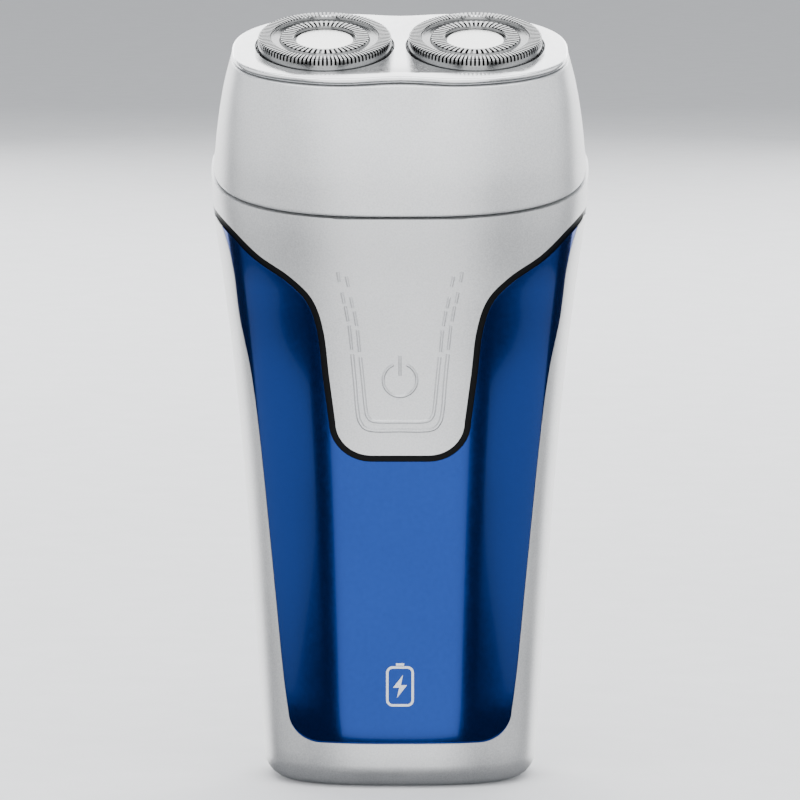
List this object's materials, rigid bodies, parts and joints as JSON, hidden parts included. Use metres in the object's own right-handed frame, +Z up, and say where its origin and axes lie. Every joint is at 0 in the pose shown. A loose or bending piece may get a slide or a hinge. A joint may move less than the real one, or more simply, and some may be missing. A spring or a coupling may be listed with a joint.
{
  "type": "rotary electric shaver",
  "caption": "Hand-held rotary electric shaver: forward-leaning pull-off head with floating slotted caps, silver and blue shells, tongue-shaped power key and charging inlet in the base.",
  "frame": {"origin": "middle of the flat base, on the surface that the shaver stands on", "axes": "+Z up the handle to the head, front with the power key towards -Y, +X to the right seen from the front"},
  "size_m": [0.0572, 0.0398, 0.1156],
  "materials": {
    "silver": "satin silver lacquer on ABS",
    "blue": "glossy blue metallic lacquer",
    "gasket": "matt black",
    "plate_chrome": "bright satin",
    "cap_steel": "polished and slotted",
    "disc_steel": "satin spun",
    "cutter_steel": "ground",
    "white_plastic": "moulded acetal",
    "grey_plastic": "moulded ABS",
    "black_plastic": "moulded ABS",
    "spring_steel": "drawn wire",
    "zinc_steel": "zinc plated",
    "brass": "turned",
    "copper_core": "wound laminated core",
    "ferrite": "sintered ferrite",
    "board_green": "solder-masked laminate",
    "battery_wrap": "heat-shrink sleeve",
    "shell_steel": "drawn shell",
    "seal_rubber": "moulded"
  },
  "bodies": {
    "root": {"rear_shell": "silver", "front_shell": "blue", "collar": "silver", "panel_gasket": "gasket", "key_flexure": "black_plastic", "usb_receptacle": "shell_steel", "usb_tongue": "black_plastic", "chassis": "white_plastic", "battery_cell": "battery_wrap", "battery_tabs": "spring_steel", "circuit_board": "board_green", "board_components": "black_plastic", "tact_switch": "black_plastic", "shell_screws": "zinc_steel", "motor_can": "zinc_steel", "motor_end_cap": "black_plastic", "motor_magnets": "ferrite", "motor_terminals": "brass", "motor_screws": "zinc_steel", "gear_plate": "grey_plastic", "gear_pins": "spring_steel", "gear_screws": "zinc_steel", "drive_deck": "grey_plastic", "deck_seal": "seal_rubber", "spindle_seals": "seal_rubber", "head_springs": "spring_steel"},
    "motor_drive": {"motor_rotor": "copper_core", "motor_pinion": "brass"},
    "drive_left": {"drive_gear_left": "white_plastic"},
    "drive_right": {"drive_gear_right": "white_plastic"},
    "plunger_left": {"spindle_left": "black_plastic", "spindle_spring_left": "spring_steel"},
    "plunger_right": {"spindle_right": "black_plastic", "spindle_spring_right": "spring_steel"},
    "head": {"head_housing": "silver", "head_plate": "plate_chrome", "retaining_frame": "grey_plastic"},
    "lock": {"retainer_lock": "black_plastic"},
    "cap_unit_left": {"outer_cap_left": "cap_steel", "cap_disc_left": "disc_steel"},
    "cap_unit_right": {"outer_cap_right": "cap_steel", "cap_disc_right": "disc_steel"},
    "cutter_unit_left": {"cutter_left": "cutter_steel", "cutter_hub_left": "white_plastic"},
    "cutter_unit_right": {"cutter_right": "cutter_steel", "cutter_hub_right": "white_plastic"},
    "button": {"power_key": "silver"},
    "switch_button": {"switch_plunger": "black_plastic"}
  },
  "joints": [
    {"name": "motor_spin", "type": "hinge", "parent": "root", "child": "motor_drive", "pos_m": [0, -0.00302, 0.09202], "axis": [0, -0.309, 0.9511], "continuous": true},
    {"name": "gear_spin_left", "type": "hinge", "parent": "root", "child": "drive_left", "pos_m": [-0.01125, 0.00095, 0.09331], "axis": [0, -0.309, 0.9511], "continuous": true},
    {"name": "spindle_plunge_left", "type": "slide", "parent": "drive_left", "child": "plunger_left", "axis": [0, -0.309, 0.9511], "range_m": [-0.0015, 0], "deforming": ["spindle_spring_left"]},
    {"name": "cap_float_left", "type": "slide", "parent": "head", "child": "cap_unit_left", "axis": [0, -0.309, 0.9511], "range_m": [-0.0015, 0], "stiffness_N_per_m": 150, "springref_m": 0.002},
    {"name": "cutter_spin_left", "type": "hinge", "parent": "cap_unit_left", "child": "cutter_unit_left", "pos_m": [-0.01125, 0.00095, 0.09331], "axis": [0, -0.309, 0.9511], "continuous": true},
    {"name": "gear_spin_right", "type": "hinge", "parent": "root", "child": "drive_right", "pos_m": [0.01125, 0.00095, 0.09331], "axis": [0, -0.309, 0.9511], "continuous": true},
    {"name": "spindle_plunge_right", "type": "slide", "parent": "drive_right", "child": "plunger_right", "axis": [0, -0.309, 0.9511], "range_m": [-0.0015, 0], "deforming": ["spindle_spring_right"]},
    {"name": "cap_float_right", "type": "slide", "parent": "head", "child": "cap_unit_right", "axis": [0, -0.309, 0.9511], "range_m": [-0.0015, 0], "stiffness_N_per_m": 150, "springref_m": 0.002},
    {"name": "cutter_spin_right", "type": "hinge", "parent": "cap_unit_right", "child": "cutter_unit_right", "pos_m": [0.01125, 0.00095, 0.09331], "axis": [0, -0.309, 0.9511], "continuous": true},
    {"name": "head_lift", "type": "slide", "parent": "root", "child": "head", "axis": [0, -0.309, 0.9511], "range_m": [0, 0.025]},
    {"name": "retainer_lock_turn", "type": "hinge", "parent": "head", "child": "lock", "pos_m": [0, -0.00214, 0.10282], "axis": [0, -0.309, 0.9511], "range_deg": [0, 90]},
    {"name": "power_key_press", "type": "hinge", "parent": "root", "child": "button", "pos_m": [0, -0.0168, 0.0769], "axis": [1, 0, 0], "range_deg": [0, 1.2], "stiffness_Nm_per_rad": 0.5, "deforming": ["key_flexure"]},
    {"name": "switch_plunger_press", "type": "slide", "parent": "root", "child": "switch_button", "axis": [0, 1, 0], "range_m": [0, 0.0003]}
  ],
  "couplings": [
    {"joint": "gear_spin_left", "follows": "motor_spin", "ratio": -0.33333},
    {"joint": "cutter_spin_left", "follows": "motor_spin", "ratio": -0.33333},
    {"joint": "spindle_plunge_left", "follows": "cap_float_left", "ratio": 1},
    {"joint": "gear_spin_right", "follows": "motor_spin", "ratio": -0.33333},
    {"joint": "cutter_spin_right", "follows": "motor_spin", "ratio": -0.33333},
    {"joint": "spindle_plunge_right", "follows": "cap_float_right", "ratio": 1},
    {"joint": "switch_plunger_press", "follows": "power_key_press", "m_per_rad": 0.012}
  ]
}
